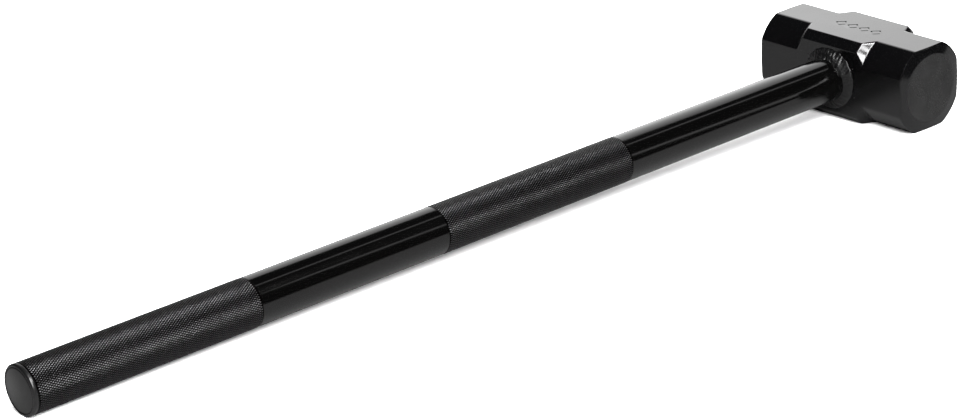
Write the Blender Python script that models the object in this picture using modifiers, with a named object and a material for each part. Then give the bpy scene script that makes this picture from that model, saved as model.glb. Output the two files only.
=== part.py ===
"""A double-faced steel sledgehammer with a welded tube handle, lying flat along Y.

The head is a length of square bar whose two ends are turned round. A steel tube with two knurled
grips runs through its eye and is welded front and back. A cap closes the tube's butt end.
Everything is in metres, +Z up. The origin is at the centre of the bounding box's base.
"""

import math

import bmesh
import bpy
from mathutils import Matrix

# Driving dimensions
OVERALL_LENGTH = 0.922      # from the end cap's face to the head's back cheek
BAR = 0.075                 # side of the square bar
BAR_CHAMFER = 0.007         # along each long edge of the bar
HEAD_LENGTH = 0.168         # from one striking face to the other
TURNED_LENGTH = 0.0455      # of each round end, up to its shoulder
TURNED_RADIUS = 0.0415
FACE_RADIUS = 0.0305        # of the flat striking face, inside its bevel
FACE_BEVEL = 0.002          # how far the bevel falls back from the face
TUBE_RADIUS = 0.020
TUBE_WALL = 0.0045
TUBE_CHAMFER = 0.0016
NEAR_GRIP_LENGTH = 0.200    # knurled, from the butt end of the tube
MID_GRIP_START = 0.3877     # measured from the end cap's face
MID_GRIP_LENGTH = 0.200
KNURL_DEPTH = 0.0003        # how far the plain lengths stand below the knurl's crests
CAP_THICKNESS = 0.0036
CAP_EDGE = 0.0014           # rounded rim of the cap's face
SPIGOT_LENGTH = 0.022
SPIGOT_WALL = 0.0025
NECK_WELD_LEG = 0.0086
NECK_WELD_FLATNESS = 0.006  # how far behind its root the bead's crown is centred
BACK_WELD_DEPTH = 0.0055    # of the groove round the eye that the back weld fills
PLUG_THICKNESS = 0.006
GAP = 0.0003                # kept between neighbouring pieces

# Places worked out from them
BACK_Y = OVERALL_LENGTH / 2
BUTT_Y = -OVERALL_LENGTH / 2
HEAD_Y = BACK_Y - BAR / 2
FRONT_CHEEK_Y = HEAD_Y - BAR / 2
AXIS_Z = BAR / 2
TUBE_BUTT_Y = BUTT_Y + CAP_THICKNESS + GAP
TUBE_BACK_Y = BACK_Y - GAP
BORE_RADIUS = TUBE_RADIUS - TUBE_WALL
EYE_RADIUS = TUBE_RADIUS + GAP
PLUG_RADIUS = BORE_RADIUS - GAP
SIDES = 96


def clear_scene():
    for obj in list(bpy.data.objects):
        bpy.data.objects.remove(obj, do_unlink=True)
    for collection in list(bpy.data.collections):
        bpy.data.collections.remove(collection)


def new_collection(name):
    collection = bpy.data.collections.new(name)
    bpy.context.scene.collection.children.link(collection)
    return collection


def painted(name, colour, roughness, metallic=0.0):
    material = bpy.data.materials.new(name)
    material.use_nodes = True
    shader = material.node_tree.nodes["Principled BSDF"]
    shader.inputs["Base Color"].default_value = (*colour, 1.0)
    shader.inputs["Roughness"].default_value = roughness
    shader.inputs["Metallic"].default_value = metallic
    material.diffuse_color = (*colour, 1.0)
    return material


def new_object(name, collection, mesh, material=None):
    obj = bpy.data.objects.new(name, mesh)
    collection.objects.link(obj)
    if material:
        mesh.materials.append(material)
    return obj


def turned(name, collection, profile, closed=False, along="Y", material=None):
    """A solid of revolution. profile lists (radius, distance along the axis), and at its outer
    side it runs from the far end of the axis to the near end."""
    mesh = bpy.data.meshes.new(name)
    edges = [(i, i + 1) for i in range(len(profile) - 1)]
    if closed:
        edges.append((len(profile) - 1, 0))
    mesh.from_pydata([(radius, 0.0, distance) for radius, distance in profile], edges, [])
    obj = new_object(name, collection, mesh, material)
    obj.rotation_euler = (-math.pi / 2, 0, 0) if along == "Y" else (0, math.pi / 2, 0)
    screw = obj.modifiers.new("Turn", "SCREW")
    screw.axis = "Z"
    screw.steps = screw.render_steps = SIDES
    screw.use_merge_vertices = True
    screw.merge_threshold = 0.00001
    screw.use_smooth_shade = False
    return obj


def arc(centre, radius, start, end, count):
    """Points of an arc as (radius, distance) pairs, with its angles in degrees."""
    points = []
    for i in range(count + 1):
        angle = math.radians(start + (end - start) * i / count)
        points.append((centre[0] + radius * math.cos(angle), centre[1] + radius * math.sin(angle)))
    return points


def boolean(obj, cutter, operation):
    cutter.hide_render = True
    cutter.display_type = "WIRE"
    modifier = obj.modifiers.new(cutter.name, "BOOLEAN")
    modifier.object = cutter
    modifier.operation = operation
    modifier.solver = "EXACT"


def chamfered_bar(name, collection, material):
    """The square bar, longer than the head, with a chamfer along its four long edges."""
    bm = bmesh.new()
    bmesh.ops.create_cube(bm, size=1.0, matrix=Matrix.Diagonal((HEAD_LENGTH + 0.02, BAR, BAR, 1)))
    weights = bm.edges.layers.float.new("bevel_weight_edge")
    for edge in bm.edges:
        across = edge.verts[0].co - edge.verts[1].co
        edge[weights] = 1.0 if abs(across.x) > BAR else 0.0
    mesh = bpy.data.meshes.new(name)
    bm.to_mesh(mesh)
    bm.free()
    obj = new_object(name, collection, mesh, material)
    bevel = obj.modifiers.new("Chamfer", "BEVEL")
    bevel.limit_method = "WEIGHT"
    bevel.width = BAR_CHAMFER
    bevel.segments = 1
    return obj


def head_envelope(cutters):
    """The outline that the lathe gives the bar: faces, bevels, round ends, 45 degree shoulders."""
    shoulder = HEAD_LENGTH / 2 - TURNED_LENGTH
    rise = BAR * 0.75 - TURNED_RADIUS
    half = [
        (0.0, HEAD_LENGTH / 2),
        (FACE_RADIUS, HEAD_LENGTH / 2),
        (TURNED_RADIUS, HEAD_LENGTH / 2 - FACE_BEVEL),
        (TURNED_RADIUS, shoulder),
        (TURNED_RADIUS + rise, shoulder - rise),
    ]
    other_half = [(radius, -distance) for radius, distance in reversed(half)]
    return turned("head_envelope", cutters, half + other_half, along="X")


def eye_cutter(cutters):
    """The eye right through the head, opened into a weld groove at the back cheek."""
    over = 0.004
    groove_radius = EYE_RADIUS + BACK_WELD_DEPTH + over
    profile = [
        (0.0, BAR / 2 + over),
        (groove_radius, BAR / 2 + over),
        (EYE_RADIUS, BAR / 2 - BACK_WELD_DEPTH),
        (EYE_RADIUS, -BAR / 2 - over),
        (0.0, -BAR / 2 - over),
    ]
    return turned("eye_cutter", cutters, profile)


def build_head(parts, cutters):
    steel = painted("head_enamel", (0.030, 0.030, 0.031), 0.38)
    head = chamfered_bar("head", parts, steel)
    head.location = (0, HEAD_Y, AXIS_Z)
    envelope = head_envelope(cutters)
    eye = eye_cutter(cutters)
    for cutter in (envelope, eye):
        cutter.location = head.location
    boolean(head, envelope, "INTERSECT")
    boolean(head, eye, "DIFFERENCE")


def build_handle_tube(parts):
    """The tube, with its plain lengths a little below the crests of the knurled grips."""
    enamel = painted("handle_enamel", (0.010, 0.010, 0.011), 0.12)
    plain = TUBE_RADIUS - KNURL_DEPTH
    near_grip_end = TUBE_BUTT_Y + NEAR_GRIP_LENGTH
    mid_grip_start = BUTT_Y + MID_GRIP_START
    mid_grip_end = mid_grip_start + MID_GRIP_LENGTH
    profile = [
        (BORE_RADIUS, TUBE_BACK_Y),
        (plain, TUBE_BACK_Y),
        (plain, mid_grip_end),
        (TUBE_RADIUS, mid_grip_end - KNURL_DEPTH),
        (TUBE_RADIUS, mid_grip_start + KNURL_DEPTH),
        (plain, mid_grip_start),
        (plain, near_grip_end),
        (TUBE_RADIUS, near_grip_end - KNURL_DEPTH),
        (TUBE_RADIUS, TUBE_BUTT_Y + TUBE_CHAMFER),
        (TUBE_RADIUS - TUBE_CHAMFER, TUBE_BUTT_Y),
        (BORE_RADIUS, TUBE_BUTT_Y),
    ]
    tube = turned("handle_tube", parts, profile, closed=True, material=enamel)
    tube.location = (0, 0, AXIS_Z)


def build_end_cap(parts):
    """A turned cap: a disc as wide as the tube, on a hollow spigot pressed into the bore."""
    satin = painted("cap_enamel", (0.045, 0.045, 0.046), 0.45)
    under = BUTT_Y + CAP_THICKNESS
    rim = arc((TUBE_RADIUS - CAP_EDGE, BUTT_Y + CAP_EDGE), CAP_EDGE, 0, -90, 6)
    spigot_end = under + SPIGOT_LENGTH
    profile = [
        (0.0, under),
        (PLUG_RADIUS - SPIGOT_WALL, under),
        (PLUG_RADIUS - SPIGOT_WALL, spigot_end),
        (PLUG_RADIUS - SPIGOT_WALL / 2, spigot_end),
        (PLUG_RADIUS, spigot_end - SPIGOT_WALL / 2),
        (PLUG_RADIUS, under),
        (TUBE_RADIUS, under),
        *rim,
        (0.0, BUTT_Y),
    ]
    cap = turned("end_cap", parts, profile, material=satin)
    cap.location = (0, 0, AXIS_Z)


def build_neck_weld(parts):
    """The fillet weld where the tube leaves the front cheek."""
    bead = painted("weld_enamel", (0.035, 0.035, 0.036), 0.40)
    root = (EYE_RADIUS, FRONT_CHEEK_Y - GAP)
    back = NECK_WELD_FLATNESS
    centre = (root[0] - back, root[1] + back)
    crown_radius = math.hypot(NECK_WELD_LEG + back, back)
    tilt = math.degrees(math.atan2(back, NECK_WELD_LEG + back))
    crown = arc(centre, crown_radius, -tilt, tilt - 90, 10)
    weld = turned("neck_weld", parts, [root, *crown], closed=True, material=bead)
    weld.location = (0, 0, AXIS_Z)


def build_back_weld(parts):
    """The weld that fills the groove round the tube's other end, dressed flush."""
    bead = painted("back_weld_enamel", (0.035, 0.035, 0.036), 0.40)
    top = BACK_Y - GAP
    reach = BACK_WELD_DEPTH - GAP * (1 + math.sqrt(2))
    profile = [
        (EYE_RADIUS, top),
        (EYE_RADIUS + reach, top),
        (EYE_RADIUS, top - reach),
    ]
    weld = turned("back_weld", parts, profile, closed=True, material=bead)
    weld.location = (0, 0, AXIS_Z)


def build_eye_plug(parts):
    """The disc that closes the tube's bore at the back cheek."""
    enamel = painted("plug_enamel", (0.030, 0.030, 0.031), 0.38)
    profile = [
        (0.0, TUBE_BACK_Y),
        (PLUG_RADIUS, TUBE_BACK_Y),
        (PLUG_RADIUS, TUBE_BACK_Y - PLUG_THICKNESS),
        (0.0, TUBE_BACK_Y - PLUG_THICKNESS),
    ]
    plug = turned("eye_plug", parts, profile, material=enamel)
    plug.location = (0, 0, AXIS_Z)


def main():
    clear_scene()
    parts = new_collection("sledgehammer")
    cutters = new_collection("cutters")
    build_head(parts, cutters)
    build_handle_tube(parts)
    build_end_cap(parts)
    build_neck_weld(parts)
    build_back_weld(parts)
    build_eye_plug(parts)


main()
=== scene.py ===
"""A steel sledgehammer with a knurled tube handle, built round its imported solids.

Laid out as a Blender add-on and run as a script. Each operator builds one piece or one group of
like pieces, and the last one builds the stage. Lengths are in metres, +Z up, handle along Y.
"""

import math

import bmesh
import bpy
import numpy as np
from bpy.props import FloatProperty, FloatVectorProperty, IntProperty, PointerProperty
from bpy.types import Operator, Panel, PropertyGroup
from mathutils import Matrix, Vector


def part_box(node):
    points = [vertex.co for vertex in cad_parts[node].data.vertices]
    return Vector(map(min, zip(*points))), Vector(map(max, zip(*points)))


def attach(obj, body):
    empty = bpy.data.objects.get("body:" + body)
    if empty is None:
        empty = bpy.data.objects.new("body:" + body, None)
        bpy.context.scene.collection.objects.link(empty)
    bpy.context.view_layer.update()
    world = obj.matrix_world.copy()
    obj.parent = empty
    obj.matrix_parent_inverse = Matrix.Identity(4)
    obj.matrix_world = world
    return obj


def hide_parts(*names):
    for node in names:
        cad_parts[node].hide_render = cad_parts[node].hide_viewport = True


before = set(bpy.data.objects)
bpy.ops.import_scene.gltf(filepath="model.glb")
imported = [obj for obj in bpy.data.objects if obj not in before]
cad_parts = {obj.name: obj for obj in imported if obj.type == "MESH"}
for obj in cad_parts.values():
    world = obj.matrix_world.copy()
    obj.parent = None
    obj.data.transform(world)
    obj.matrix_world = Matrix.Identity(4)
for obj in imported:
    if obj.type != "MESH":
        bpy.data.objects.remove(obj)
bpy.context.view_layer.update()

bl_info = {
    "name": "Steel Sledgehammer",
    "version": (1, 0, 0),
    "blender": (4, 5, 0),
    "location": "3D View > Sidebar > Hammer",
    "description": "Builds a steel sledgehammer with a knurled tube handle, piece by piece",
    "category": "Add Mesh",
}

MM = 0.001
UP = Vector((0, 0, 1))


# ---------------------------------------------------------------- places read from the frame

def corners(node):
    low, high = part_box(node)
    return Vector(low), Vector(high)


HEAD_LOW, HEAD_HIGH = corners("head")
TUBE_LOW, TUBE_HIGH = corners("handle_tube")
CAP_LOW, CAP_HIGH = corners("end_cap")
NECK_LOW, NECK_HIGH = corners("neck_weld")
BACK_LOW, BACK_HIGH = corners("back_weld")
PLUG_LOW, PLUG_HIGH = corners("eye_plug")

HEAD_CENTRE = (HEAD_LOW + HEAD_HIGH) / 2
HALF_BAR = (HEAD_HIGH.z - HEAD_LOW.z) / 2
HALF_HEAD = (HEAD_HIGH.x - HEAD_LOW.x) / 2
AXIS_Z = (TUBE_LOW.z + TUBE_HIGH.z) / 2
TUBE_RADIUS = (TUBE_HIGH.x - TUBE_LOW.x) / 2
CHEEK_Y = HEAD_LOW.y
BACK_Y = HEAD_HIGH.y
BUTT_Y = CAP_LOW.y


# ---------------------------------------------------------------- settings

class HammerHeadSettings(PropertyGroup):
    """Sizes of the head that a maker would change."""

    bar_chamfer: FloatProperty(
        name="Bar chamfer", description="Chamfer along the long edges of the bar",
        default=7.0 * MM, unit="LENGTH")
    turned_radius: FloatProperty(
        name="Turned radius", description="Radius of the head's two round ends",
        default=41.5 * MM, unit="LENGTH")
    turned_length: FloatProperty(
        name="Turned length", description="Length of each round end, up to its shoulder",
        default=45.5 * MM, unit="LENGTH")
    face_radius: FloatProperty(
        name="Face radius", description="Radius of the flat striking face inside its bevel",
        default=30.5 * MM, unit="LENGTH")
    face_bevel: FloatProperty(
        name="Face bevel", description="How far the bevel falls back from the striking face",
        default=2.0 * MM, unit="LENGTH")
    edge_blend: FloatProperty(
        name="Edge blend", description="Width over which two faces round into each other",
        default=0.6 * MM, unit="LENGTH")
    stamp_depth: FloatProperty(
        name="Stamp depth", description="Depth of the marks struck into the top flat",
        default=0.5 * MM, unit="LENGTH")


class HammerHandleSettings(PropertyGroup):
    """Sizes of the handle that a maker would change."""

    near_grip_length: FloatProperty(
        name="Near grip", description="Length of the knurled grip at the butt",
        default=200.0 * MM, unit="LENGTH")
    mid_grip_start: FloatProperty(
        name="Middle grip start", description="Where the middle grip starts, from the butt",
        default=387.7 * MM, unit="LENGTH")
    mid_grip_length: FloatProperty(
        name="Middle grip", description="Length of the middle grip",
        default=200.0 * MM, unit="LENGTH")
    knurl_starts: IntProperty(
        name="Knurl starts", description="Grooves of each hand round the tube", default=64, min=8)
    knurl_angle: FloatProperty(
        name="Knurl angle", description="Angle between a groove and the handle's axis",
        default=math.radians(30), subtype="ANGLE")
    knurl_rise: FloatProperty(
        name="Knurl rise", description="How far the knurl's crests stand above the plain tube",
        default=0.3 * MM, unit="LENGTH")
    knurl_depth: FloatProperty(
        name="Knurl depth", description="Height of a diamond from its groove to its crest",
        default=0.40 * MM, unit="LENGTH")


class HammerCapSettings(PropertyGroup):
    """Sizes of the end cap that a maker would change."""

    flange_thickness: FloatProperty(
        name="Flange", description="Thickness of the flange outside the tube",
        default=3.6 * MM, unit="LENGTH")
    edge_radius: FloatProperty(
        name="Edge radius", description="Radius of the flange's outside edge",
        default=1.8 * MM, unit="LENGTH")
    spigot_wall: FloatProperty(
        name="Spigot wall", description="Wall of the hollow spigot inside the tube",
        default=2.5 * MM, unit="LENGTH")


class HammerWeldSettings(PropertyGroup):
    """Sizes of the neck weld that a maker would change."""

    side_leg: FloatProperty(
        name="Side leg", description="How far the bead runs along the tube where it is shortest",
        default=3.4 * MM, unit="LENGTH")
    extra_leg: FloatProperty(
        name="Extra leg", description="How much further it runs where it is longest",
        default=5.0 * MM, unit="LENGTH")
    longest_at: FloatProperty(
        name="Longest at", description="Where it is longest, as a turn from +X towards +Z",
        default=math.radians(105), subtype="ANGLE")
    hollowness: FloatProperty(
        name="Hollowness", description="Of the bead's face: 1 is round, 2 is flat, 3 is hollow",
        default=1.75, min=1.0, max=3.0)


class HammerFinishSettings(PropertyGroup):
    """Colours of the hammer's finishes."""

    head_colour: FloatVectorProperty(
        name="Head", description="Satin enamel on the head", subtype="COLOR", size=3,
        default=(0.0009, 0.0009, 0.001), min=0, max=1)
    gloss_colour: FloatVectorProperty(
        name="Gloss", description="Gloss enamel on the plain lengths of the handle",
        subtype="COLOR", size=3, default=(0.0005, 0.0005, 0.0005), min=0, max=1)
    # Colour of the knurl's worn crests. The knurl's colour falls to black into the grooves, as painted
    # shade.
    knurl_colour: FloatVectorProperty(
        name="Knurl", description="Darkened steel on the crests of the knurled grips",
        subtype="COLOR", size=3, default=(0.165, 0.165, 0.168), min=0, max=1)
    face_colour: FloatVectorProperty(
        name="Striking face", description="Turned black steel of the striking faces",
        subtype="COLOR", size=3, default=(0.001, 0.001, 0.001), min=0, max=1)
    cap_colour: FloatVectorProperty(
        name="Cap", description="Satin black of the end cap", subtype="COLOR", size=3,
        default=(0.002, 0.002, 0.0021), min=0, max=1)
    # Lighter colour along the outside edges: thin enamel, and partly a painted edge highlight.
    worn_and_highlit_colour: FloatVectorProperty(
        name="Worn and highlit edge", description="Thin enamel along the outside edges", subtype="COLOR",
        size=3, default=(0.09, 0.09, 0.092), min=0, max=1)


class HammerStageSettings(PropertyGroup):
    """Camera, lights and floor."""

    azimuth: FloatProperty(
        name="Azimuth", description="Direction of the camera round the hammer",
        default=math.radians(49.666), subtype="ANGLE")
    elevation: FloatProperty(
        name="Elevation", description="Height of the camera above the horizon",
        default=math.radians(22.32), subtype="ANGLE")
    roll: FloatProperty(
        name="Roll", description="Turn of the camera about its own axis",
        default=math.radians(-3.251), subtype="ANGLE")
    distance: FloatProperty(
        name="Distance", description="From the camera to the handle", default=2.3643,
        unit="LENGTH")
    focal_length: FloatProperty(
        name="Focal length", description="Of the lens, in millimetres", default=110.65)
    floor_colour: FloatVectorProperty(
        name="Floor", description="Colour of the floor", subtype="COLOR", size=3,
        default=(0.9, 0.9, 0.9), min=0, max=1)
    floor_in_gloss: FloatProperty(
        name="Floor in gloss", description="How bright the floor's colour is in reflections",
        default=0.135)
    floor_gloss_edge: FloatProperty(
        name="Floor's bright edge", description="Where the floor turns dark in reflections",
        default=0.30, unit="LENGTH")
    back_light: FloatProperty(
        name="Back light", description="Brightness of the big soft light behind", default=2.7)
    strip_light: FloatProperty(
        name="Strip lights", description="Brightness of the two thin lights past the head",
        default=1.2)
    key_light: FloatProperty(
        name="Key lights", description="Power of each of the two lights on the head, in watts",
        default=40.0)
    grip_light: FloatProperty(
        name="Grip light", description="Power of the light on the middle grip, in watts",
        default=28.0)
    fill_light: FloatProperty(
        name="Fill light", description="Power of the broad light overhead, in watts",
        default=480.0)


# ---------------------------------------------------------------- node groups

def new_group(name, inputs, outputs):
    """A shader node group with named sockets: (name, type, default) and (name, type)."""
    group = bpy.data.node_groups.new(name, "ShaderNodeTree")
    for label, kind, value in inputs:
        socket = group.interface.new_socket(label, in_out="INPUT", socket_type=kind)
        socket.default_value = value
    for label, kind in outputs:
        group.interface.new_socket(label, in_out="OUTPUT", socket_type=kind)
    return group, group.nodes.new("NodeGroupInput"), group.nodes.new("NodeGroupOutput")


def set_inputs(tree, node, **inputs):
    """Sets inputs, given by name or as i and a number, to a value or links them from a socket."""
    for key, value in inputs.items():
        key = int(key[1:]) if key[1:].isdigit() else key.replace("_", " ")
        if isinstance(value, bpy.types.NodeSocket):
            tree.links.new(value, node.inputs[key])
        else:
            node.inputs[key].default_value = value


def add_node(tree, kind, settings=None, **inputs):
    """A node with its settings and its inputs."""
    node = tree.nodes.new(kind)
    for key, value in (settings or {}).items():
        setattr(node, key, value)
    set_inputs(tree, node, **inputs)
    return node


def maths(tree, operation, first, second=0.0, third=0.0):
    node = add_node(tree, "ShaderNodeMath", {"operation": operation}, i0=first, i1=second, i2=third)
    return node.outputs[0]


def vector_maths(tree, operation, first, second):
    """Where the operation is SCALE, second is a number."""
    key = "Scale" if operation == "SCALE" else "i1"
    node = add_node(tree, "ShaderNodeVectorMath", {"operation": operation}, i0=first, **{key: second})
    return node.outputs["Value"] if operation == "DISTANCE" else node.outputs[0]


def remap(tree, value, start, end, low=0.0, high=1.0):
    """A value's place between start and end, kept there and carried over to low and high."""
    node = add_node(tree, "ShaderNodeMapRange", {"clamp": True}, i0=value, i1=start, i2=end, i3=low,
                    i4=high)
    return node.outputs[0]


def noise(tree, place, scale, detail, roughness=0.5):
    """Soft noise from about 0 to 1, with scale lumps to a metre."""
    node = add_node(tree, "ShaderNodeTexNoise", None, Vector=place, Scale=scale, Detail=detail,
                    Roughness=roughness)
    return node.outputs["Fac"]


def mixed(tree, share, first, second):
    """The first colour where share is 0, and the second where it is 1."""
    node = add_node(tree, "ShaderNodeMix", {"data_type": "RGBA"}, i0=share, i6=first, i7=second)
    return node.outputs[2]


def object_place(tree):
    return add_node(tree, "ShaderNodeTexCoord").outputs["Object"]


# How many of each the enamel and the steel have to a metre.
SPECKS = 2400.0
CHIPS = 260.0
BLOTCHES = 90.0
SMUDGES = 34.0


def enamel_group():
    """Orange peel, fine speckle and faint smudges of a sprayed black enamel."""
    group, given, out = new_group(
        "Enamel Surface",
        [("Peel Size", "NodeSocketFloat", 3.0), ("Speckle", "NodeSocketFloat", 0.3),
         ("Roughness", "NodeSocketFloat", 0.3), ("Smudge", "NodeSocketFloat", 0.06),
         ("Base Color", "NodeSocketColor", (0.01, 0.01, 0.01, 1.0))],
        [("Color", "NodeSocketColor"), ("Roughness", "NodeSocketFloat"),
         ("Height", "NodeSocketFloat")])
    place = object_place(group)
    peels_per_metre = maths(group, "DIVIDE", 1000.0, given.outputs["Peel Size"])
    peel = noise(group, place, peels_per_metre, 2.0)
    specks = noise(group, place, SPECKS, 2.0)
    smudges = remap(group, noise(group, place, SMUDGES, 5.0, 0.62), 0.32, 0.7, -1.0, 1.0)
    speck_height = maths(group, "MULTIPLY", specks, given.outputs["Speckle"])
    height = maths(group, "ADD", peel, speck_height)
    change = maths(group, "MULTIPLY", smudges, given.outputs["Smudge"])
    rough = maths(group, "ADD", given.outputs["Roughness"], change)
    grain = remap(group, specks, 0.3, 0.7, 0.78, 1.3)
    colour = vector_maths(group, "SCALE", given.outputs["Base Color"], grain)
    set_inputs(group, out, Color=colour, Roughness=rough, Height=height)
    return group


def edge_wear_and_highlight_group():
    """Where the enamel is thin along outside edges, broken up by chips. The lighter colour there is
    also a painted highlight along the edges.
    """
    group, given, out = new_group(
        "Edge Wear And Highlight",
        [("Start", "NodeSocketFloat", 0.53), ("End", "NodeSocketFloat", 0.62),
         ("Amount", "NodeSocketFloat", 0.5)],
        [("Mask", "NodeSocketFloat")])
    bend = add_node(group, "ShaderNodeNewGeometry").outputs["Pointiness"]
    edge = remap(group, bend, given.outputs["Start"], given.outputs["End"])
    chips = remap(group, noise(group, object_place(group), CHIPS, 4.0), 0.42, 0.6)
    worn_and_highlit = maths(group, "MULTIPLY", edge, chips)
    set_inputs(group, out, Mask=maths(group, "MULTIPLY", worn_and_highlit, given.outputs["Amount"]))
    return group


def height_group():
    """How far a point of the knurl stands from its groove, at 0, to its crest, at 1. The knurl's colour
    is scaled by it, which paints shade into the grooves.
    """
    group, given, out = new_group(
        "Knurl Height",
        [("Groove", "NodeSocketFloat", 0.0194), ("Crest", "NodeSocketFloat", 0.02)],
        [("Mask", "NodeSocketFloat")])
    from_axis = vector_maths(group, "SUBTRACT", object_place(group), (0.0, 0.0, AXIS_Z))
    across = vector_maths(group, "MULTIPLY", from_axis, (1.0, 0.0, 1.0))
    radius = vector_maths(group, "DISTANCE", across, (0.0, 0.0, 0.0))
    share = remap(group, radius, given.outputs["Groove"], given.outputs["Crest"])
    set_inputs(group, out, Mask=maths(group, "POWER", share, 2.0))
    return group


def tool_marks_group():
    """Fine parallel or turned grinding marks, as a height and a brightness."""
    group, given, out = new_group(
        "Tool Marks",
        [("Along", "NodeSocketVector", (1.0, 40.0, 1.0)), ("Scale", "NodeSocketFloat", 40.0),
         ("Contrast", "NodeSocketFloat", 0.3)],
        [("Height", "NodeSocketFloat"), ("Tone", "NodeSocketFloat")])
    place = object_place(group)
    stretched = vector_maths(group, "MULTIPLY", place, given.outputs["Along"])
    marks = noise(group, stretched, given.outputs["Scale"], 6.0, 0.6)
    blotches = noise(group, place, BLOTCHES, 4.0)
    centred = maths(group, "SUBTRACT", maths(group, "ADD", marks, blotches), 1.0)
    tone = maths(group, "MULTIPLY_ADD", centred, given.outputs["Contrast"], 1.0)
    set_inputs(group, out, Height=marks, Tone=tone)
    return group


GROUPS = {}


def group_node(tree, maker, **inputs):
    """A node of the group that maker builds, which is built once and shared."""
    if maker.__name__ not in GROUPS:
        GROUPS[maker.__name__] = maker()
    return add_node(tree, "ShaderNodeGroup", {"node_tree": GROUPS[maker.__name__]}, **inputs)


# ---------------------------------------------------------------- materials

def finish_colours():
    return bpy.context.scene.hammer_finish


def new_material(name):
    """A material with its node tree and its Principled shader."""
    material = bpy.data.materials.new(name)
    material.use_nodes = True
    tree = material.node_tree
    return material, tree, tree.nodes["Principled BSDF"]


def add_bump(tree, shader, height, distance):
    bump = add_node(tree, "ShaderNodeBump", None, Strength=1.0, Distance=distance, Height=height)
    set_inputs(tree, shader, Normal=bump.outputs[0])


def enamel(name, colour, roughness, peel_mm, bump_mm, speckle, wear_and_highlight_amount, smudge=0.05):
    """Sprayed enamel on steel, with thinner paint along its edges, painted lighter there partly as an
    edge highlight.
    """
    material, tree, shader = new_material(name)
    paint = group_node(tree, enamel_group, Base_Color=(*colour, 1.0), Roughness=roughness,
                       Peel_Size=peel_mm, Speckle=speckle, Smudge=smudge)
    worn_and_highlit = group_node(tree, edge_wear_and_highlight_group, Amount=wear_and_highlight_amount)
    # Along the edges the colour turns lighter: worn enamel, and partly a painted highlight.
    base = mixed(tree, worn_and_highlit.outputs["Mask"], paint.outputs["Color"],
                 (*finish_colours().worn_and_highlit_colour, 1.0))
    set_inputs(tree, shader, Base_Color=base, Roughness=paint.outputs["Roughness"], IOR=1.46)
    add_bump(tree, shader, paint.outputs["Height"], bump_mm * MM)
    return material


def head_enamel():
    """The head's satin enamel, made once and shared with the plug."""
    name = "head_enamel_satin"
    return bpy.data.materials.get(name) or enamel(
        name, finish_colours().head_colour, roughness=0.13, peel_mm=1.6, bump_mm=0.008,
        speckle=0.5, wear_and_highlight_amount=0.25)


def knurled_steel(name, colour, roughness, groove, crest):
    """Darkened steel, worn bright on the diamonds' crests by handling, and black in the grooves between
    as painted shade.
    groove and crest are the knurl's smallest and largest radius."""
    material, tree, shader = new_material(name)
    grime = group_node(tree, enamel_group, Base_Color=(*colour, 1.0), Roughness=roughness,
                       Peel_Size=0.9, Speckle=0.8, Smudge=0.04)
    height = group_node(tree, height_group, Groove=groove, Crest=crest).outputs["Mask"]
    # The colour is scaled by the knurl's height, so it falls to black in the grooves: painted shade
    # there, worn crests on top.
    base = vector_maths(tree, "SCALE", grime.outputs["Color"], height)
    depth = maths(tree, "SUBTRACT", 1.0, height)
    rough = maths(tree, "MULTIPLY_ADD", depth, 0.12, grime.outputs["Roughness"])
    set_inputs(tree, shader, Base_Color=base, Roughness=rough, Metallic=1.0)
    add_bump(tree, shader, grime.outputs["Height"], 0.003 * MM)
    return material


def ground_steel(name, colour, roughness, along, scale, contrast, bump_mm, turned=0.0):
    """Blackened steel that still shows its grinding or turning marks. along says how many times
    finer the marks are in X, Y and Z, and turned how far the sheen follows rings about X."""
    material, tree, shader = new_material(name)
    marks = group_node(tree, tool_marks_group, Along=along, Scale=scale, Contrast=contrast)
    black = group_node(tree, enamel_group, Base_Color=(*colour, 1.0), Roughness=roughness,
                       Peel_Size=1.1, Speckle=0.8, Smudge=0.05)
    base = vector_maths(tree, "SCALE", black.outputs["Color"], marks.outputs["Tone"])
    set_inputs(tree, shader, Base_Color=base, Roughness=black.outputs["Roughness"], IOR=1.5)
    if turned:
        rings = add_node(tree, "ShaderNodeTangent", {"direction_type": "RADIAL", "axis": "X"})
        set_inputs(tree, shader, Anisotropic=turned, Tangent=rings.outputs[0])
    relief = maths(tree, "MULTIPLY_ADD", black.outputs["Height"], 0.5, marks.outputs["Height"])
    add_bump(tree, shader, relief, bump_mm * MM)
    return material


# ---------------------------------------------------------------- mesh helpers

def link_mesh(name, mesh, materials=()):
    """An object of a mesh, in the scene and with its materials."""
    for material in materials:
        mesh.materials.append(material)
    obj = bpy.data.objects.new(name, mesh)
    bpy.context.scene.collection.objects.link(obj)
    return obj


def link_bmesh(name, bm, materials=()):
    """An object of a bmesh, which it frees."""
    mesh = bpy.data.meshes.new(name)
    bm.to_mesh(mesh)
    bm.free()
    return link_mesh(name, mesh, materials)


def link_sheet(name, corner_points, material):
    """An object of one flat face."""
    bm = bmesh.new()
    bm.faces.new([bm.verts.new(point) for point in corner_points])
    return link_bmesh(name, bm, [material])


def mesh_object(name, points, faces, materials, smooth_angle=40.0):
    """A mesh object from points and faces, welded, facing out, and smooth up to an angle."""
    mesh = bpy.data.meshes.new(name)
    mesh.from_pydata([tuple(point) for point in points], [], faces)
    bm = bmesh.new()
    bm.from_mesh(mesh)
    bmesh.ops.remove_doubles(bm, verts=bm.verts, dist=0.002 * MM)
    bmesh.ops.recalc_face_normals(bm, faces=bm.faces)
    bm.to_mesh(mesh)
    bm.free()
    mesh.shade_smooth()
    mesh.set_sharp_from_angle(angle=math.radians(smooth_angle))
    return link_mesh(name, mesh, materials)


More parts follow.
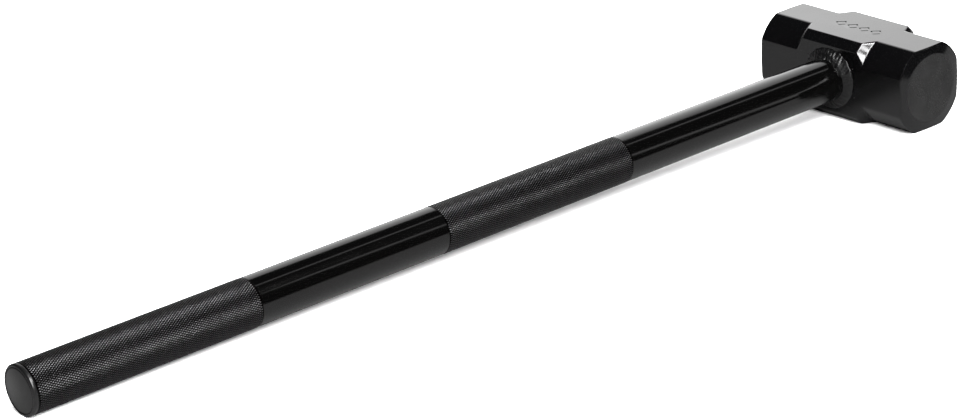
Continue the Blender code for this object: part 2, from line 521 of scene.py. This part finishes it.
def ring_faces(rings, size, closed=False):
    """Quads between neighbouring rings of size points each."""
    faces = []
    for ring in range(rings if closed else rings - 1):
        below = ring * size
        above = (ring + 1) % rings * size
        for i in range(size):
            j = (i + 1) % size
            faces.append((below + i, below + j, above + j, above + i))
    return faces


def lathe(name, profile, segments, materials, closed=False):
    """A solid turned about the handle's axis from (radius, y) pairs. An open profile starts and
    ends on the axis."""
    angles = np.linspace(0, 2 * np.pi, segments, endpoint=False)
    points = []
    for radius, y in profile:
        ring = np.stack([radius * np.cos(angles), np.full(segments, y),
                         AXIS_Z + radius * np.sin(angles)], 1)
        points.extend(ring.tolist())
    faces = ring_faces(len(profile), segments, closed)
    return mesh_object(name, points, faces, materials, smooth_angle=30.0)


def arc(centre, radius, start, end, count):
    """Points of an arc as (radius, y) pairs, with its angles in degrees."""
    turns = np.radians(np.linspace(start, end, count + 1))
    return [(centre[0] + radius * math.cos(t), centre[1] + radius * math.sin(t)) for t in turns]


def cut(obj, cutter):
    """Cuts away the cutter with one exact Boolean, and removes it."""
    modifier = obj.modifiers.new("Cut", "BOOLEAN")
    modifier.object = cutter
    modifier.operation = "DIFFERENCE"
    modifier.solver = "EXACT"
    graph = bpy.context.evaluated_depsgraph_get()
    result = bpy.data.meshes.new_from_object(obj.evaluated_get(graph))
    obj.modifiers.clear()
    obj.data = result
    bpy.data.objects.remove(cutter, do_unlink=True)


def finish_piece(obj, slot, *nodes):
    """Rides on the hammer's one body and stands for CAD nodes, which it hides. slot is not used."""
    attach(obj, "root")
    if nodes:
        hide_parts(*nodes)


# ---------------------------------------------------------------- head

def smooth_max(first, second, width):
    """The larger of two distances, rounded where they are within width of each other."""
    overlap = np.maximum(width - np.abs(first - second), 0.0) / width
    return np.maximum(first, second) + overlap * overlap * width / 4


def head_distance(x, y, z, settings):
    """How far a point, measured from the head's centre, lies outside the head."""
    blend = settings.edge_blend
    along = np.abs(x)
    across = np.abs(y)
    height = np.abs(z)
    radius = np.hypot(y, z)
    flats = smooth_max(across - HALF_BAR, height - HALF_BAR, blend)
    corner = (across + height - (2 * HALF_BAR - settings.bar_chamfer)) / math.sqrt(2)
    bar = smooth_max(flats, corner, blend)
    shoulder_x = HALF_HEAD - settings.turned_length
    cone = (radius - settings.turned_radius - (shoulder_x - along)) / math.sqrt(2)
    turned = -smooth_max(settings.turned_radius - radius, -cone, blend)
    run = settings.turned_radius - settings.face_radius
    fall = settings.face_bevel
    bevel = ((along - HALF_HEAD) * run + (radius - settings.face_radius) * fall) / math.hypot(run, fall)
    end = smooth_max(along - HALF_HEAD, bevel, blend / 2)
    return smooth_max(smooth_max(bar, turned, blend), end, blend)


def spread(*stretches):
    """Values along joined stretches, each (start, end, step)."""
    values = []
    for start, end, step in stretches:
        count = max(1, round((end - start) / step))
        values.extend(np.linspace(start, end, count, endpoint=False))
    values.append(stretches[-1][1])
    return np.array(values)


def head_rays(settings):
    """Rings of rays from the head's long axis: (origin x, lengthwise part, outward part).
    They are square to the axis up to the root, and fan out from there to the striking face."""
    root = HALF_HEAD - 8 * MM
    shoulder = HALF_HEAD - settings.turned_length
    coarse = 8 * MM
    fine = 0.3 * MM
    sides = spread(
        (0, shoulder - 8 * MM, coarse),                        # the bar
        (shoulder - 8 * MM, shoulder - 5.5 * MM, fine),        # the top of the shoulder
        (shoulder - 5.5 * MM, shoulder - 1 * MM, 3 * fine),    # its slope
        (shoulder - 1 * MM, shoulder + 1.2 * MM, fine),        # its foot
        (shoulder + 1.2 * MM, root, coarse))                   # the round end
    sides = [(x, 0.0, 1.0) for x in sides]
    reach = HALF_HEAD - root
    face_edge = -math.degrees(math.atan2(settings.face_radius, reach))
    turns = spread(
        (-90.0, -84.0, 1.5),                                   # the round end
        (-84.0, -78.5, 0.36),                                  # the outside of the bevel
        (-78.5, face_edge - 1, 0.8),                           # the bevel
        (face_edge - 1, face_edge + 1.2, 0.3),                 # the edge of the striking face
        (face_edge + 1.2, -20.0, 13.0))                        # the striking face
    caps = [(root, math.cos(math.radians(t)), math.sin(math.radians(-t))) for t in turns[1:]]
    half = sides + caps
    return [(-x, -lengthwise, outward) for x, lengthwise, outward in reversed(half[1:])] + half


def head_turns():
    """Angles round the head, close together where a flat meets a round end or a chamfer."""
    quarter = spread((0.0, 22.0, 2.2), (22.0, 40.4, 0.46), (40.4, 49.6, 1.3), (49.6, 68.0, 0.46),
                     (68.0, 90.0, 2.2))[:-1]
    return np.radians(np.concatenate([quarter + 90 * i for i in range(4)]))


def build_head_body(settings):
    """Points and faces of the whole head. Each ray's stretch from inside to outside is halved
    until it ends on the surface."""
    rays = np.array(head_rays(settings))
    turns = head_turns()
    origin = rays[:, 0][:, None]
    lengthwise = rays[:, 1][:, None]
    across = rays[:, 2][:, None] * np.cos(turns)[None, :]
    height = rays[:, 2][:, None] * np.sin(turns)[None, :]
    near = np.zeros(across.shape)
    far = np.full(across.shape, 2 * HALF_BAR)
    halvings = 34
    for _ in range(halvings):
        middle = (near + far) / 2
        outside = head_distance(origin + middle * lengthwise, middle * across, middle * height,
                                settings) > 0
        far = np.where(outside, middle, far)
        near = np.where(outside, near, middle)
    points = np.stack([origin + near * lengthwise, near * across, near * height], -1)
    points = points.reshape(-1, 3) + np.array(HEAD_CENTRE)
    faces = ring_faces(len(rays), len(turns))
    poles = [HEAD_CENTRE - Vector((HALF_HEAD, 0, 0)), HEAD_CENTRE + Vector((HALF_HEAD, 0, 0))]
    points = points.tolist() + [tuple(pole) for pole in poles]
    last = (len(rays) - 1) * len(turns)
    for i in range(len(turns)):
        j = (i + 1) % len(turns)
        faces.append((j, i, len(points) - 2))
        faces.append((last + i, last + j, len(points) - 1))
    return points, faces


def prism(bm, outline, top, bottom):
    """A closed prism between two heights, from an outline of (x, y) points."""
    rings = [[bm.verts.new((x, y, z)) for x, y in outline] for z in (bottom, top)]
    bm.faces.new(rings[0][::-1])
    bm.faces.new(rings[1])
    for i in range(len(outline)):
        j = (i + 1) % len(outline)
        bm.faces.new((rings[0][i], rings[0][j], rings[1][j], rings[1][i]))


def lozenge(centre, size):
    """Corners of a square standing on a corner, which lies size from its centre."""
    x, y = centre
    return [(x + size, y), (x, y + size), (x - size, y), (x, y - size)]


def stamp_cutter(settings):
    """A row of four plain lozenges struck into the top flat."""
    bm = bmesh.new()
    floor = HEAD_HIGH.z - settings.stamp_depth
    top = HEAD_HIGH.z + 2 * MM
    size = 6.4 * MM
    stroke = 1.4 * MM
    pitch = 13.5 * MM
    row_x = HEAD_CENTRE.x + 2 * MM
    row_y = HEAD_CENTRE.y - 1 * MM
    for place in range(4):
        centre = (row_x + (place - 1.5) * pitch, row_y)
        outer = lozenge(centre, size)
        inner = lozenge(centre, size - stroke * math.sqrt(2))
        for i in range(4):
            j = (i + 1) % 4
            prism(bm, [outer[i], outer[j], inner[j], inner[i]], top, floor)
    # Each lozenge is four prisms. The walls between them go, so that it is one solid.
    bmesh.ops.remove_doubles(bm, verts=bm.verts, dist=0.01 * MM)
    walls = [face for face in bm.faces if all(len(edge.link_faces) > 2 for edge in face.edges)]
    bmesh.ops.delete(bm, geom=walls, context="FACES_ONLY")
    bmesh.ops.recalc_face_normals(bm, faces=bm.faces)
    return link_bmesh("stamp_cutter", bm)


def back_pocket_cutter():
    """The pocket in the back cheek that shows the tube's end, its plug and its weld."""
    radius = BACK_HIGH.x + 0.1 * MM
    floor = BACK_LOW.y - 2 * MM
    profile = [(0.0, floor), (radius, floor), (radius, BACK_Y + 3 * MM), (0.0, BACK_Y + 3 * MM)]
    return lathe("pocket_cutter", profile, 96, [])


class HAMMER_OT_head(Operator):
    """Build the head: flats, chamfers, turned ends, shoulders, striking faces and stamp"""

    bl_idname = "hammer.head"
    bl_label = "Head"

    def execute(self, context):
        settings = context.scene.hammer_head
        points, faces = build_head_body(settings)
        face_steel = ground_steel(
            "striking_face_steel", finish_colours().face_colour, roughness=0.28,
            along=(1.0, 9.0, 9.0), scale=60.0, contrast=4.0, bump_mm=0.020, turned=0.8)
        head = mesh_object("hammer_head", points, faces, [head_enamel(), face_steel])
        cut(head, stamp_cutter(settings))
        cut(head, back_pocket_cutter())
        for face in head.data.polygons:
            behind_face = HALF_HEAD - abs(face.center.x - HEAD_CENTRE.x)
            face.material_index = 1 if behind_face < 0.02 * MM else 0
        head.data.shade_smooth()
        head.data.set_sharp_from_angle(angle=math.radians(32))
        finish_piece(head, "head_enamel", "head")
        return {"FINISHED"}


# ---------------------------------------------------------------- handle

def knurl_span(settings, which):
    """(start, end) along Y of the near or the middle grip."""
    if which == "near":
        start = TUBE_LOW.y + 0.4 * MM
        return start, TUBE_LOW.y + settings.near_grip_length
    start = BUTT_Y + settings.mid_grip_start
    return start, start + settings.mid_grip_length


SHOULDER_DROP = 0.58        # from a diamond's crest down to its shoulder, as a share of its depth
SHOULDER_WIDTH = 0.62       # of its shoulder, as a share of the diamond
TOP_WIDTH = 0.10            # of its flat top, as a share of the diamond
UNEVEN = 0.06 * MM          # how far a point or a whole top may be pressed down


def knurled_sleeve(name, start, end, settings, material):
    """A sleeve whose outside is cut by two hands of helical grooves into flat-topped diamonds."""
    starts = settings.knurl_starts
    crest = TUBE_RADIUS
    groove = crest - settings.knurl_depth
    shoulder = crest - SHOULDER_DROP * settings.knurl_depth
    inside = groove - 0.6 * MM
    diamond_length = 2 * math.pi * crest / starts / math.tan(settings.knurl_angle)
    rows = round((end - start) / (diamond_length / 2))
    row_length = (end - start) / rows
    points = []
    faces = []
    random = np.random.default_rng(11)

    def add_point(radius, row, column):
        """row counts half diamonds along the sleeve, and column counts whole ones round it."""
        angle = column * 2 * math.pi / starts
        points.append((radius * math.cos(angle), start + row * row_length,
                       AXIS_Z + radius * math.sin(angle)))
        return len(points) - 1

    def add_ring(radius, row):
        """Points round the sleeve, half a diamond further round in every other row."""
        return [add_point(radius, row, column + 0.5 * (row % 2)) for column in range(starts)]

    crossings = [add_ring(groove, row) for row in range(rows + 1)]

    def crossing(row, column):
        """Where two grooves cross."""
        return crossings[row][column % starts]

    def add_diamond(row, column):
        """Two rings of flanks and a flat top, from the crossings at its four corners."""
        shift = row % 2
        middle = column + 0.5 * (1 + shift)
        outer = (crossing(row, column), crossing(row - 1, column + shift),
                 crossing(row, column + 1), crossing(row + 1, column + shift))
        top = crest + random.uniform(-UNEVEN, 0.0)
        for radius, width in ((shoulder, SHOULDER_WIDTH), (top, TOP_WIDTH)):
            lift = random.uniform(-UNEVEN, 0.0, 4)
            inner = (add_point(radius + lift[0], row, middle - 0.5 * width),
                     add_point(radius + lift[1], row - width, middle),
                     add_point(radius + lift[2], row, middle + 0.5 * width),
                     add_point(radius + lift[3], row + width, middle))
            for i in range(4):
                j = (i + 1) % 4
                faces.append((outer[i], outer[j], inner[j], inner[i]))
            outer = inner
        faces.append(outer)

    for row in range(1, rows):
        for column in range(starts):
            add_diamond(row, column)
    near = add_ring(inside, 0)
    far = add_ring(inside, rows)
    for i in range(starts):
        j = (i + 1) % starts
        # A half diamond and a rim at each end, and the inside wall between the rims.
        faces.append((crossing(0, i), crossing(0, j), crossing(1, i)))
        faces.append((crossing(rows, i), crossing(rows, j), crossing(rows - 1, i + rows % 2)))
        faces.append((crossing(0, i), crossing(0, j), near[j], near[i]))
        faces.append((crossing(rows, i), crossing(rows, j), far[j], far[i]))
        faces.append((near[i], near[j], far[i]))
        faces.append((far[i], far[j], near[j]))
    return mesh_object(name, points, faces, [material], smooth_angle=20.0)


def tube_profile(settings):
    """The tube's closed outline, slimmer where the knurled sleeves sit."""
    plain = TUBE_RADIUS - settings.knurl_rise
    core = TUBE_RADIUS - settings.knurl_depth - 0.65 * MM
    bore = PLUG_HIGH.x + 0.3 * MM
    soft = 0.25 * MM
    near_start, near_end = knurl_span(settings, "near")
    mid_start, mid_end = knurl_span(settings, "mid")
    return [
        (bore, TUBE_HIGH.y), (plain - soft, TUBE_HIGH.y), (plain, TUBE_HIGH.y - soft),
        (plain, mid_end + soft), (plain - soft, mid_end), (core, mid_end), (core, mid_start),
        (plain - soft, mid_start), (plain, mid_start - soft), (plain, near_end + soft),
        (plain - soft, near_end), (core, near_end), (core, near_start),
        (TUBE_RADIUS - 0.45 * MM, near_start), (TUBE_RADIUS - 0.85 * MM, TUBE_LOW.y),
        (bore, TUBE_LOW.y),
    ]


class HAMMER_OT_handle(Operator):
    """Build the handle tube and its two knurled grips"""

    bl_idname = "hammer.handle"
    bl_label = "Handle tube and grips"

    def execute(self, context):
        settings = context.scene.hammer_handle
        colours = finish_colours()
        gloss = enamel("handle_enamel_gloss", colours.gloss_colour, roughness=0.11, peel_mm=2.6,
                       bump_mm=0.006, speckle=0.10, wear_and_highlight_amount=0.0, smudge=0.02)
        tube = lathe("plain_tube", tube_profile(settings), 192, [gloss], closed=True)
        finish_piece(tube, "handle_enamel", "handle_tube")
        knurl = knurled_steel("knurl_steel_with_groove_shade", colours.knurl_colour, roughness=0.31,
                              groove=TUBE_RADIUS - settings.knurl_depth, crest=TUBE_RADIUS)
        gap = 0.05 * MM
        for which, start_gap in (("near", 0.0), ("mid", gap)):
            start, end = knurl_span(settings, which)
            grip = knurled_sleeve(f"{which}_grip_knurl", start + start_gap, end - gap, settings,
                                  knurl)
            finish_piece(grip, "handle_enamel")
        return {"FINISHED"}


# ---------------------------------------------------------------- end cap

def cap_profile(settings):
    """The cap's outline, from the inside of its hollow spigot round to the middle of its face."""
    under = BUTT_Y + settings.flange_thickness
    edge = settings.edge_radius
    spigot = PLUG_HIGH.x
    hollow = spigot - settings.spigot_wall
    lead_in = 1.3 * MM
    soft = 0.5 * MM
    inside = [(0.0, under), (hollow, under), (hollow, CAP_HIGH.y),
              (spigot - lead_in + 0.1 * MM, CAP_HIGH.y), (spigot, CAP_HIGH.y - lead_in),
              (spigot, under)]
    shoulder = arc((TUBE_RADIUS - soft, under - soft), soft, 90, 0, 4)
    rim = arc((TUBE_RADIUS - edge, BUTT_Y + edge), edge, 0, -90, 10)
    # A V groove just inside the rounded edge, as (distance in from it, depth).
    groove = [(0.2 * MM, 0.1 * MM), (0.7 * MM, 0.7 * MM), (1.2 * MM, 0.1 * MM), (1.4 * MM, 0.0)]
    groove = [(TUBE_RADIUS - edge - inward, BUTT_Y + depth) for inward, depth in groove]
    return [*inside, *shoulder, *rim, *groove, (0.0, BUTT_Y)]


class HAMMER_OT_end_cap(Operator):
    """Build the turned cap in the tube's butt end"""

    bl_idname = "hammer.end_cap"
    bl_label = "End cap"

    def execute(self, context):
        satin = ground_steel("cap_satin", finish_colours().cap_colour, roughness=0.34,
                             along=(1.0, 1.0, 4.0), scale=160.0, contrast=0.8, bump_mm=0.06)
        cap = lathe("butt_cap", cap_profile(context.scene.hammer_cap), 160, [satin])
        finish_piece(cap, "cap_enamel", "end_cap")
        return {"FINISHED"}


# ---------------------------------------------------------------- welds

def weld_lumps(turns, steps):
    """Uneven height of a hand-laid bead, from about -1 to 1, round the tube and across the bead.
    It adds up waves of every length, and lays the welder's small even ripples over them."""
    random = np.random.default_rng(7)
    angle = np.linspace(0, 2 * np.pi, turns, endpoint=False)[:, None]
    share = np.linspace(0, np.pi, steps + 1)[None, :]
    height = np.zeros((turns, steps + 1))
    for _ in range(60):
        waves = random.integers(3, 60)
        across = random.uniform(0.2, 3.0)
        phase = random.uniform(0, 2 * np.pi)
        height += np.sin(waves * angle + across * share * 2 + phase) / waves ** 0.6
    ripple_count = 66
    ripple_height = 0.04
    ripples = np.sin(ripple_count * angle + 1.7 * np.sin(share) + 2 * np.sin(4 * angle))
    return height / np.abs(height).max() + ripple_height * ripples


# Beads of spatter on the cheek: a turn from +X towards +Z in degrees, and the distance from the
# handle's axis and the radius in millimetres.
SPATTER = ((168, 29.6, 0.9), (146, 30.4, 0.5), (28, 30.8, 0.6), (-22, 31.5, 0.5))


def weld_points(settings, turns, steps):
    """Rings of points across the fillet bead, each closed by one point at its hidden root."""
    root = TUBE_RADIUS - 0.6 * MM
    toe = CHEEK_Y + 0.4 * MM
    reach = NECK_HIGH.x - root
    hollow = settings.hollowness
    lumps = weld_lumps(turns, steps)
    points = []
    for i in range(turns):
        angle = 2 * math.pi * i / turns
        longest = (0.5 + 0.5 * math.cos(angle - settings.longest_at)) ** 1.4
        outward = reach * (0.93 + 0.06 * lumps[i][0])
        leg = settings.side_leg + settings.extra_leg * longest
        along = leg * (1 + 0.09 * lumps[i][-1])
        for j in range(steps + 1):
            lean = math.pi / 2 * j / steps
            swell = 1 + (0.09 + 0.07 * longest) * lumps[i][j] * math.sin(2 * lean)
            radius = root + min(outward * math.cos(lean) ** hollow * swell, reach)
            y = max(toe - along * math.sin(lean) ** hollow * swell, NECK_LOW.y)
            points.append((radius * math.cos(angle), y, AXIS_Z + radius * math.sin(angle)))
        points.append((root * math.cos(angle), toe, AXIS_Z + root * math.sin(angle)))
    return points


def weld_bead(name, settings, material):
    """The fillet bead round the neck with its spatter. It runs further along the tube on top."""
    turns = 720
    steps = 18
    points = weld_points(settings, turns, steps)
    faces = ring_faces(turns, steps + 2, closed=True)
    weld = mesh_object(name, points, faces, [material], smooth_angle=50.0)
    bm = bmesh.new()
    bm.from_mesh(weld.data)
    for turn, from_axis, size in SPATTER:
        spot = math.radians(turn)
        from_axis *= MM
        place = Vector((from_axis * math.cos(spot), CHEEK_Y, AXIS_Z + from_axis * math.sin(spot)))
        bmesh.ops.create_icosphere(bm, subdivisions=2, radius=size * MM,
                                   matrix=Matrix.Translation(place))
    for face in bm.faces:
        face.smooth = True
    bm.to_mesh(weld.data)
    bm.free()
    return weld


class HAMMER_OT_neck_weld(Operator):
    """Build the fillet weld where the tube leaves the front cheek"""

    bl_idname = "hammer.neck_weld"
    bl_label = "Neck weld"

    def execute(self, context):
        satin = enamel("weld_enamel_satin", finish_colours().head_colour, roughness=0.34,
                       peel_mm=1.8, bump_mm=0.16, speckle=0.9, wear_and_highlight_amount=0.0)
        weld = weld_bead("neck_fillet_weld", context.scene.hammer_weld, satin)
        finish_piece(weld, "weld_enamel", "neck_weld")
        return {"FINISHED"}


def back_weld_profile():
    """The ring that fills the pocket round the tube's end, with a low crown above the cheek."""
    inner = TUBE_RADIUS - 0.2 * MM
    outer = BACK_HIGH.x
    crown_radius = 4.9 * MM
    crown_rise = 0.3 * MM
    crown_centre = ((inner + outer) / 2, BACK_Y + crown_rise - crown_radius)
    return [(inner, BACK_LOW.y), *arc(crown_centre, crown_radius, 122, 58, 10), (outer, BACK_LOW.y)]


def plug_profile():
    """The plug, a little below the cheek and with a soft edge."""
    radius = PLUG_HIGH.x
    top = BACK_Y - 0.3 * MM
    soft = 0.6 * MM
    edge = arc((radius - soft, top - soft), soft, 90, 0, 4)
    return [(0.0, top), *edge, (radius, PLUG_LOW.y), (0.0, PLUG_LOW.y)]


class HAMMER_OT_back_weld(Operator):
    """Build the dressed weld and the plug at the back cheek"""

    bl_idname = "hammer.back_weld"
    bl_label = "Back weld and plug"

    def execute(self, context):
        dressed = ground_steel("dressed_weld", finish_colours().head_colour, roughness=0.34,
                               along=(1.0, 1.0, 10.0), scale=70.0, contrast=0.5, bump_mm=0.03)
        ring = lathe("back_weld_ring", back_weld_profile(), 128, [dressed], closed=True)
        finish_piece(ring, "back_weld_enamel", "back_weld")
        plug = lathe("tube_plug", plug_profile(), 96, [head_enamel()])
        finish_piece(plug, "plug_enamel", "eye_plug")
        return {"FINISHED"}


# ---------------------------------------------------------------- stage

def look_from(position, target):
    """A matrix at position whose -Z axis points at target, with no roll."""
    back = (Vector(position) - Vector(target)).normalized()
    right = UP.cross(back).normalized()
    above = back.cross(right)
    matrix = Matrix((right, above, back)).transposed().to_4x4()
    matrix.translation = Vector(position)
    return matrix


def add_camera(settings):
    """The camera, aimed at the middle of the handle and shifted a little."""
    aim = Vector((0.0, -0.0116, AXIS_Z))
    level = math.cos(settings.elevation)
    towards = Vector((math.sin(settings.azimuth) * level, -math.cos(settings.azimuth) * level,
                      math.sin(settings.elevation)))
    data = bpy.data.cameras.new("camera")
    data.sensor_width = 36.0
    data.lens = settings.focal_length
    data.shift_x = -0.0122
    data.shift_y = -0.00085
    camera = bpy.data.objects.new("camera", data)
    bpy.context.scene.collection.objects.link(camera)
    matrix = look_from(aim + towards * settings.distance, aim)
    camera.matrix_world = matrix @ Matrix.Rotation(settings.roll, 4, "Z")
    bpy.context.scene.camera = camera


def floor_paper(settings):
    """Matt pale paper, dimmer in reflections and nearly black there past its bright edge."""
    material, tree, shader = new_material("floor_paper")
    side = add_node(tree, "ShaderNodeSeparateXYZ", None, Vector=object_place(tree)).outputs["X"]
    edge = settings.floor_gloss_edge
    softness = 0.02
    darkest = 0.004
    dimmed = remap(tree, side, edge, edge + softness, settings.floor_in_gloss, darkest)
    glossy = add_node(tree, "ShaderNodeLightPath").outputs["Is Glossy Ray"]
    colour = mixed(tree, glossy, (*settings.floor_colour, 1.0), dimmed)
    set_inputs(tree, shader, Base_Color=colour, Roughness=0.95, Specular_IOR_Level=0.0)
    return material


def add_floor(settings):
    """The floor, tilted so that the head's lower edge and the butt both touch it."""
    slope = (TUBE_LOW.z - HEAD_LOW.z) / (CHEEK_Y - BUTT_Y)
    half = 5.0
    corner_points = [(x, y, (CHEEK_Y - y) * slope)
                     for x, y in ((-half, -half), (half, -half), (half, half), (-half, half))]
    link_sheet("floor", corner_points, floor_paper(settings))


def panel_glow(name, strength, fall, hot):
    """Light that fades by fall for each metre from the hot spot."""
    material, tree, shader = new_material(name)
    tree.nodes.remove(shader)
    away = vector_maths(tree, "DISTANCE", object_place(tree), (*hot, 0.0))
    fade = maths(tree, "MULTIPLY_ADD", away, -fall, strength)
    glow = add_node(tree, "ShaderNodeEmission", None, Strength=maths(tree, "MAXIMUM", fade, 0.15))
    set_inputs(tree, tree.nodes["Material Output"], Surface=glow.outputs[0])
    return material


def glowing_panel(name, centre, across, upward, size, strength, fall=0.0, hot=(0.0, 0.0)):
    """A glowing rectangle, brightest at its hot spot. The camera doesn't see it. size is its
    (width, height), and hot is a place on it measured from its centre."""
    across = Vector(across).normalized()
    upward = (Vector(upward) - across * across.dot(Vector(upward))).normalized()
    half = (size[0] / 2, size[1] / 2)
    corner_points = [(i * half[0], j * half[1], 0) for i, j in ((-1, -1), (1, -1), (1, 1), (-1, 1))]
    panel = link_sheet(name, corner_points, panel_glow(name, strength, fall, hot))
    matrix = Matrix((across, upward, across.cross(upward))).transposed().to_4x4()
    matrix.translation = Vector(centre)
    panel.matrix_world = matrix
    panel.visible_camera = False
    panel.visible_shadow = False


def strip_panel(name, start, end, strength):
    """A thin glowing strip between two points, turned to face the hammer."""
    start = Vector(start)
    end = Vector(end)
    centre = (start + end) / 2
    along = end - start
    towards = Vector((0, 0.2, 0.05)) - centre
    width = 0.12
    glowing_panel(name, centre, along, along.cross(towards), (along.length, width), strength)


def area_light(name, centre, target, size, power, seen_in_gloss=True):
    data = bpy.data.lights.new(name, "AREA")
    data.shape = "RECTANGLE"
    data.size, data.size_y = size
    data.energy = power
    lamp = bpy.data.objects.new(name, data)
    bpy.context.scene.collection.objects.link(lamp)
    lamp.matrix_world = look_from(centre, target)
    lamp.visible_glossy = seen_in_gloss


def studio_world():
    """A pale backdrop for the camera, which gives the hammer almost no light."""
    world = bpy.data.worlds.new("studio")
    world.use_nodes = True
    tree = world.node_tree
    seen = add_node(tree, "ShaderNodeLightPath").outputs["Is Camera Ray"]
    strength = maths(tree, "MAXIMUM", seen, 0.006)
    backdrop = tree.nodes["Background"]
    backdrop.inputs["Color"].default_value = (1, 1, 1, 1)
    tree.links.new(strength, backdrop.inputs["Strength"])
    return world


class HAMMER_OT_stage(Operator):
    """Lay the floor, hang the lights and set up the camera"""

    bl_idname = "hammer.stage"
    bl_label = "Floor, lights and camera"

    def execute(self, context):
        settings = context.scene.hammer_stage
        add_floor(settings)
        glowing_panel("back_panel", centre=(-1.2545, 1.008, 0.75), across=(0.883, 0.469, 0),
                      upward=UP, size=(2.25, 1.5), strength=settings.back_light, fall=1.35,
                      hot=(0.475, -0.30))
        strip_panel("low_strip", (1.26, 0.85, 1.25), (1.50, 1.85, 0.05), settings.strip_light)
        strip_panel("high_strip", (0.08, 0.75, 1.77), (0.42, 1.90, 1.40), settings.strip_light)
        key_place = HEAD_CENTRE + Vector((1.525, -0.854, 1.338))
        key_step = Vector((-0.53, 0.30, 0.79)) * 0.31
        for name, place in (("key_lamp_upper", key_place + key_step),
                            ("key_lamp_lower", key_place - key_step)):
            area_light(name, place, HEAD_CENTRE, (0.9, 0.45), settings.key_light)
        area_light("grip_lamp", (1.16, 0.36, 1.62), (0, 0.03, AXIS_Z), (0.6, 0.3),
                   settings.grip_light)
        area_light("fill_lamp", (1.2, -0.5, 2.6), (0.1, 0, 0), (4.0, 4.0), settings.fill_light,
                   seen_in_gloss=False)
        context.scene.world = studio_world()
        context.scene.view_settings.view_transform = "Standard"
        add_camera(settings)
        return {"FINISHED"}


# ---------------------------------------------------------------- panel and registration

OPERATORS = (HAMMER_OT_head, HAMMER_OT_handle, HAMMER_OT_end_cap, HAMMER_OT_neck_weld,
             HAMMER_OT_back_weld, HAMMER_OT_stage)

SETTINGS = (("hammer_head", HammerHeadSettings), ("hammer_handle", HammerHandleSettings),
            ("hammer_cap", HammerCapSettings), ("hammer_weld", HammerWeldSettings),
            ("hammer_finish", HammerFinishSettings), ("hammer_stage", HammerStageSettings))


class HAMMER_PT_panel(Panel):
    """The hammer's settings and builders in the sidebar"""

    bl_idname = "HAMMER_PT_panel"
    bl_label = "Steel Sledgehammer"
    bl_space_type = "VIEW_3D"
    bl_region_type = "UI"
    bl_category = "Hammer"

    def draw(self, context):
        for attribute, group in SETTINGS:
            box = self.layout.box()
            values = getattr(context.scene, attribute)
            for name in group.__annotations__:
                box.prop(values, name)
        for operator in OPERATORS:
            self.layout.operator(operator.bl_idname)


def register():
    for _, group in SETTINGS:
        bpy.utils.register_class(group)
    for attribute, group in SETTINGS:
        setattr(bpy.types.Scene, attribute, PointerProperty(type=group))
    for cls in (*OPERATORS, HAMMER_PT_panel):
        bpy.utils.register_class(cls)


def unregister():
    for cls in (HAMMER_PT_panel, *reversed(OPERATORS)):
        bpy.utils.unregister_class(cls)
    for attribute, group in reversed(SETTINGS):
        delattr(bpy.types.Scene, attribute)
        bpy.utils.unregister_class(group)


def main():
    register()
    bpy.ops.hammer.head()
    bpy.ops.hammer.handle()
    bpy.ops.hammer.end_cap()
    bpy.ops.hammer.neck_weld()
    bpy.ops.hammer.back_weld()
    bpy.ops.hammer.stage()


if __name__ == "__main__":
    main()
